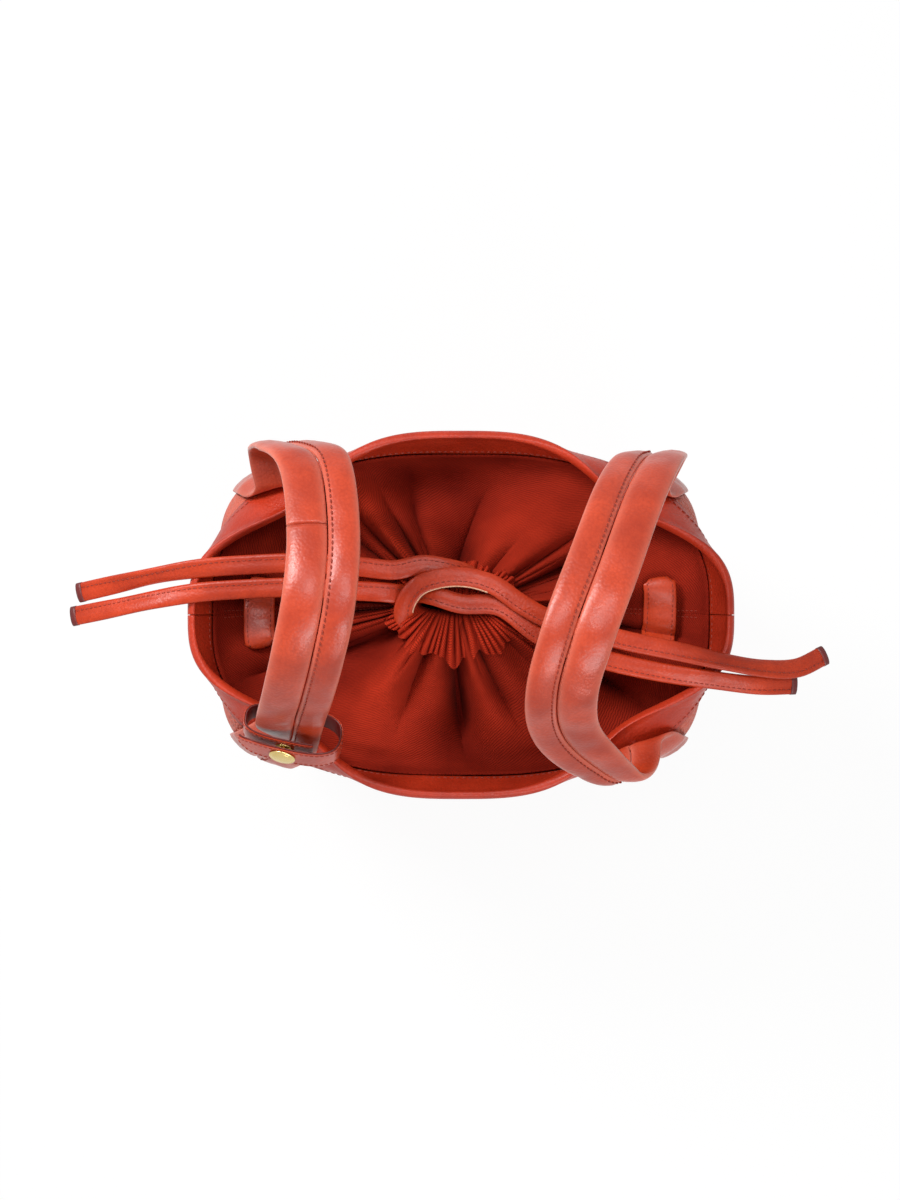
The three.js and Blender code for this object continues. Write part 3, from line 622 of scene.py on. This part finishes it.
# handles: two straps lapped along a lengthwise seam, sewn down the outside of the wall at each foot;
# a foot is its angle on the wall, the height from the rim where it leaves the wall, how much higher
# its outer edge leaves, and the share of its width that curls up out of sight
handle = dict(
    width=39.0, thickness=3.4, footThinning=0.6, footDepth=46.0, loosen=38.0, pad=1.4, crease=0.4, highlightAndWear=0.6,
    wideStrap=(-0.5, 0.055), narrowStrap=(0.065, 0.5), lapStitch=0.06, rows=260, linePoints=1200,
)
handles = dict(
    left=dict(inward=1, feet=((133, -20, 11, 0.34), (226, 2, 0, 0.0)),
              bow=[(-113, 92, -2), (-107, 93, 22), (-95, 92, 48), (-80, 82, 75), (-73, 42, 101),
                   (-75, 8, 110), (-81, -18, 100), (-89, -42, 72), (-96, -58, 36)]),
    right=dict(inward=-1, feet=((47, -20, 13, 0.2), (313, -18, 10, 0.34)),
               bow=[(116, 90, -2), (112, 89, 22), (103, 84, 48), (91, 66, 75), (74, 26, 101), (60, -10, 108),
                    (53, -40, 92), (58, -64, 60), (79, -84, 32), (103, -97, 4)]),
)


def footSeat(z):  # stand-off from the wall: a little more where the foot passes over the rim facing
    return 1.2 + 2.0 * smooth(z, bag["height"] - 34, bag["height"] - 24)


def handleLine(side):  # a smooth line up the wall at one foot, over the bow and down the wall at the other
    tall = bag["height"]
    walls = []
    for deg, leaves, twist, curl in handles[side]["feet"]:
        z = tall + mix(-handle["footDepth"], leaves - 4, np.array([0, 0.5, 1]))
        walls.append(wallOffset(deg + 0 * z, z, footSeat(z)))
    bow = np.array(handles[side]["bow"]) + (0, 0, tall)
    return route(np.vstack([walls[0], bow, walls[1][::-1]]), handle["linePoints"])


def handleGrid(side, share, across):
    # a level band along the bow, blended into the wall's own surface at both feet
    inward = handles[side]["inward"]
    tall = bag["height"]
    line = handleLine(side)
    steps = np.linspace(0, 1, handle["linePoints"])
    middle = readAt(share, steps, line)
    along = unit(readAt(share, steps, np.gradient(line, axis=0)))
    level = unit(np.array([inward, 0, 0]) - along * along[..., :1] * inward)
    z = middle[..., 2]
    low = np.minimum(z, tall - bag["rimDip"] / 2)
    result = middle
    for atBack, (deg, leaves, twist, curl) in zip((True, False), handles[side]["feet"]):
        turn = -inward if atBack else inward
        shown = handle["width"] * (1 - curl * np.exp(-((z - tall - 8) / 26) ** 2))
        free = middle + level * (across * shown)[..., None]
        rate = np.linalg.norm(wallPoint(deg + 1, low) - wallPoint(deg - 1, low), axis=-1) / 2
        sewn = wallOffset(deg + turn * across * handle["width"] / rate, low, footSeat(z))
        sewn[..., 2] += z - low
        start = tall + leaves + twist * (across + 0.5)
        loose = smooth(z, start, start + handle["loosen"])
        mine = (share < 0.5) if atBack else (share >= 0.5)
        result = np.where(mine[..., None], mix(sewn, free, loose[..., None]), result)
    return result


def handleFrame(side, share, across):
    # the band's surface with its unit normal, which faces up and out, from small steps along and across
    share, across = np.broadcast_arrays(share, across)
    after, before = [np.clip(share + step, 0, 1) for step in (0.002, -0.002)]
    ahead = handleGrid(side, after, across) - handleGrid(side, before, across)
    wide = handleGrid(side, share, across + 0.02) - handleGrid(side, share, across - 0.02)
    return handleGrid(side, share, across), unit(np.cross(ahead, wide)) * handles[side]["inward"]


handlePieces = dict(
    left_handle_wide_back=("left", "wideStrap", (0.0, 0.4185)),
    left_handle_wide_front=("left", "wideStrap", (0.4205, 1.0)),
    left_handle_narrow=("left", "narrowStrap", (0.0, 1.0)),
    right_handle_wide=("right", "wideStrap", (0.0, 1.0)),
    right_handle_narrow=("right", "narrowStrap", (0.0, 1.0)),
)
turn = np.linspace(0, fullTurn, 36, endpoint=False)[None, :]
flat = blunt(np.cos(turn), 0.4)
high = blunt(np.sin(turn), 0.55)
for name, (side, band, (start, end)) in handlePieces.items():
    inner, outer = handle[band]
    share = np.linspace(start, end, int(handle["rows"] * (end - start)) + 2)
    across = (inner + outer) / 2 + flat * (outer - inner) / 2 * 0.99
    place, normal = handleFrame(side, share[:, None], across)
    # 0 at the feet, 1 on the bow
    bowed = (smooth(share, 0.02, 0.17) * (1 - smooth(share, 0.83, 0.98)))[:, None]
    thick = handle["thickness"] * mix(handle["footThinning"], 1.0, bowed)
    crease = ripple(share[:, None] * 420, across * 26, len(name), finest=0.4)
    crease = handle["crease"] * crease * mix(1.0, 0.7, bowed)
    pad = (crease + 0.3 + handle["pad"] * bowed) * (1 - flat ** 2) * (high > 0)
    lift = thick / 2 * (1 + high * 0.94) + pad
    points = place + normal * lift[..., None]
    core = np.broadcast_to(points.mean(1, keepdims=True), points.shape)
    points = np.concatenate([core[:1], points, core[-1:]])
    # edges and feet are painted paler: a painted highlight along the edges that also stands for wear
    highlightAndWear = handle["highlightAndWear"] * np.abs(flat) ** 5 * mix(0.4, 1, bowed) + 0.12 * (1 - bowed)
    highlightAndWear = np.pad(np.clip(highlightAndWear * (0.85 + 0.35 * crease), 0, 1), ((1, 1), (0, 0)), "edge")
    addGrid(name + ".strap", points, burnishedLeather, name, wrap=(False, True),
            closed=True, paintedLightAndWear=highlightAndWear)
    if band == "narrowStrap":  # topstitch just inside the lap
        line, normals = handleFrame(side, share[4:-4], inner + handle["lapStitch"])
        raised = thick[4:-4] * 0.97 + 0.35 + 0.75 * bowed[4:-4]
        addStitches(name + ".lap_stitches", line + normals * raised, normals,
                    pitch=3.5, width=1.0, depth=0.6)
print("handles sewn")

# keeper tabs: leather loops sewn across the collar's side seams, bowed up over the drawstrings' line
tab = dict(halfAngle=15.0, place=(0.14, 0.29), thickness=2.0, seat=2.2, hump=5.0, rounding=0.35,
           seamInset=2.4, rows=80)
for name, middleDeg in dict(right_keeper_tab=0.0, left_keeper_tab=180.0).items():
    turn = np.linspace(-1, 1, tab["rows"])
    near, far = [collarPoint(middleDeg + tab["halfAngle"] * turn, place + 0 * turn) for place in tab["place"]]
    arch = tab["seat"] + tab["hump"] * np.cos(turn * math.pi / 2) ** 0.7
    middle = (near + far) / 2 + arch[:, None] * np.array([0, 0, 1])
    inwards = unit(far - near)
    up = unit(np.cross(inwards, np.gradient(middle, axis=0)))
    up = up * np.sign(up[:, 2:])
    width = np.linalg.norm(far - near, axis=1) * (1 - tab["rounding"] * smooth(np.abs(turn), 0.86, 1.0))
    addStrip(name + ".loop", middle, inwards, up, width, tab["thickness"], burnishedLeather,
             name, crown=0.9, squareness=0.35)
    for tag, side in (("outer", -1), ("inner", 1)):
        seam = side * (width / 2 - tab["seamInset"])
        line = middle + inwards * seam[:, None] + up * (tab["thickness"] / 2 + 0.35)
        addStitches(f"{name}.{tag}_stitches", line, up,
                    pitch=3.0, length=2.2, width=0.6, depth=0.4)
print("keeper tabs sewn")

# press-stud strap: a loose leather ring round the left handle, its tail lapped over its front and fastened
strap = dict(
    width=17.0, thickness=1.8, backing=1.2, halfLength=25.0, halfDepth=9.5, squareness=3.0, place=0.803,
    forward=1.4, start=55.0, end=502.0, layer=5.1, layerFrom=150.0, layerTo=390.0, taper=0.55, seamInset=1.8,
    capDiameter=15.0, pressDiameter=11.0, postDiameter=10.0, capHeight=2.0, pressHeight=1.2, rows=220,
)
onHandle = lambda share, across: handleGrid("left", np.array(share), np.array(across))
origin = onHandle(strap["place"], 0.0)
strapAlong = unit(onHandle(strap["place"] + 0.004, 0.0) - onHandle(strap["place"] - 0.004, 0.0))
strapAcross = unit(onHandle(strap["place"], 0.3) - onHandle(strap["place"], -0.3))
strapFront = unit(np.cross(strapAlong, strapAcross))


def strapRing(deg):
    # a squared oval whose size grows by one layer on its way round, so that the tail laps over the start
    a = np.radians(deg)
    scale = squaredOval(a, strap["squareness"])
    grow = strap["layer"] * smooth(deg, strap["layerFrom"], strap["layerTo"])
    sideways = (strap["halfLength"] + grow) * scale * np.cos(a)
    outwards = strap["forward"] + (strap["halfDepth"] + grow) * scale * np.sin(a)
    return origin + strapAcross * sideways[:, None] + strapFront * outwards[:, None]


deg = np.linspace(strap["start"], strap["end"], strap["rows"])
ring = strapRing(deg)
ringUp = unit(np.cross(np.gradient(ring, axis=0), strapAlong))
axis = np.broadcast_to(strapAlong, ring.shape)
taper = 1 - strap["taper"] * smooth(deg, strap["end"] - 30, strap["end"]) ** 2
addStrip("snap_strap.leather", ring + ringUp * 0.55, axis, ringUp, strap["width"] * taper,
         strap["thickness"] - 1.1, burnishedLeather, "snap_strap", squareness=0.3)
addStrip("snap_strap.backing", ring - ringUp * 0.3, axis, ringUp, (strap["width"] + 0.5) * taper,
         strap["backing"], edgePaint, squareness=0.3)
for tag, side in (("upper", 1), ("lower", -1)):
    seam = side * (strap["width"] * taper / 2 - strap["seamInset"])
    line = ring + axis * seam[:, None] + ringUp * (strap["thickness"] / 2 + 0.05)
    addStitches(f"snap_strap.{tag}_stitches", line, ringUp,
                pitch=2.9, length=2.2, width=0.6, depth=0.35)


def addTurned(name, radius, profile, height, distance, facing):
    # a lathe profile of radius and height shares, smoothed and carried round the press-stud's axis
    shape = route([(r * radius, h * height, 0) for r, h in profile], 60)
    turn = np.linspace(0, fullTurn, 48, endpoint=False)[:, None, None]
    spun = strapAcross * np.cos(turn) + strapAlong * np.sin(turn)
    points = origin + strapFront * distance + spun * np.maximum(shape[None, :, :1], 0)
    points = points + strapFront * facing * shape[None, :, 1:2]
    addGrid(name + ".brass", points, polishedBrass, name, wrap=(True, False), closed=True)


inner = strap["forward"] + strap["halfDepth"]
outer = inner + strap["layer"]
half = strap["thickness"] / 2 + 0.3
cap, press, post = [strap[size] / 2 for size in ("capDiameter", "pressDiameter", "postDiameter")]
profiles = dict(
    cap=[(0, 0), (1, 0), (1, 0.3), (0.9, 0.55), (0.82, 0.5), (0.74, 0.72), (0.4, 0.95), (0, 1)],
    socket=[(0, 0), (1, 0), (1, 0.7), (0.8, 1), (0.45, 1), (0, 0.9)],
    stud=[(0, 0), (1, 0), (1, 0.35), (0.5, 0.5), (0.45, 0.95), (0, 1)],
    post=[(0, 0), (1, 0), (1, 0.5), (0.7, 1), (0, 1)],
)
addTurned("snap_cap", cap, profiles["cap"], strap["capHeight"], outer + half, 1)
addTurned("snap_socket", press, profiles["socket"], strap["pressHeight"], outer - half, -1)
addTurned("snap_stud", press, profiles["stud"], strap["pressHeight"], inner + half, 1)
addTurned("snap_post", post, profiles["post"], strap["pressHeight"], inner - half, -1)
print("press-stud strap fastened")

# floor and light: a pale sweep, a soft key from the upper left, weaker top and fill lamps, a plain world
stage = dict(floorHalf=9.0, floorGlow=0.93, worldLight=0.22, worldSeen=1.0, aim=(0, 0, 0.25))
# each lamp has its place and size in metres and its power in watts
lamps = dict(
    key=((-0.75, 0.7, 1.25), 0.45, 19.0),
    top=((0.1, 0.3, 1.75), 0.5, 7.5),
    fill=((0.35, -1.0, 1.1), 0.6, 9.0),
)


def seenStraight(tree):  # 1 on rays from the eye, a reflection or through glass, 0 on rays that only light
    ray = addNode(tree, "ShaderNodeLightPath").outputs
    seen = ray["Is Camera Ray"]
    for kind in ("Is Glossy Ray", "Is Transmission Ray"):
        either = addNode(tree, "ShaderNodeMath", dict(operation="MAXIMUM"), {0: seen, 1: ray[kind]})
        seen = either.outputs["Value"]
    return seen


floorMesh = bpy.data.meshes.new("floor")
far = stage["floorHalf"]
floorMesh.from_pydata([(-far, -far, 0), (far, -far, 0), (far, far, 0), (-far, far, 0)], [], [(0, 1, 2, 3)])
floor = bpy.data.objects.new("floor", floorMesh)
scene.collection.objects.link(floor)
# matt paper, mostly shown as plain white: the eye sees a pale ground with a faint shadow
floorPaint, tree, shader = newMaterial("studio paper, matt white")
shader.inputs["Base Color"].default_value = linear("#F4F4F4")
shader.inputs["Roughness"].default_value = 0.95
share = addNode(tree, "ShaderNodeMath", dict(operation="MULTIPLY"),
                {0: seenStraight(tree), 1: stage["floorGlow"]})
glow = addNode(tree, "ShaderNodeEmission", inputs={"Color": linear("#FFFFFF"), "Strength": 1.0})
both = addNode(tree, "ShaderNodeMixShader", inputs={
    0: share.outputs["Value"], 1: shader.outputs["BSDF"], 2: glow.outputs["Emission"]})
tree.links.new(both.outputs["Shader"], tree.nodes["Material Output"].inputs["Surface"])
floorMesh.materials.append(floorPaint)
world = bpy.data.worlds.new("studio")
world.use_nodes = True
sky = world.node_tree
brightness = addNode(sky, "ShaderNodeMapRange", inputs={
    "Value": seenStraight(sky), "To Min": stage["worldLight"], "To Max": stage["worldSeen"]})
sky.nodes["Background"].inputs["Color"].default_value = linear("#FFFFFF")
sky.links.new(brightness.outputs["Result"], sky.nodes["Background"].inputs["Strength"])
scene.world = world
for name, (place, size, power) in lamps.items():
    lamp = bpy.data.lights.new(name, "AREA")
    lamp.size = size
    lamp.energy = power
    lampObject = bpy.data.objects.new(name, lamp)
    lampObject.location = place
    aim = Vector(stage["aim"]) - Vector(place)
    lampObject.rotation_euler = aim.to_track_quat("-Z", "Y").to_euler()
    scene.collection.objects.link(lampObject)
print("stage lit")
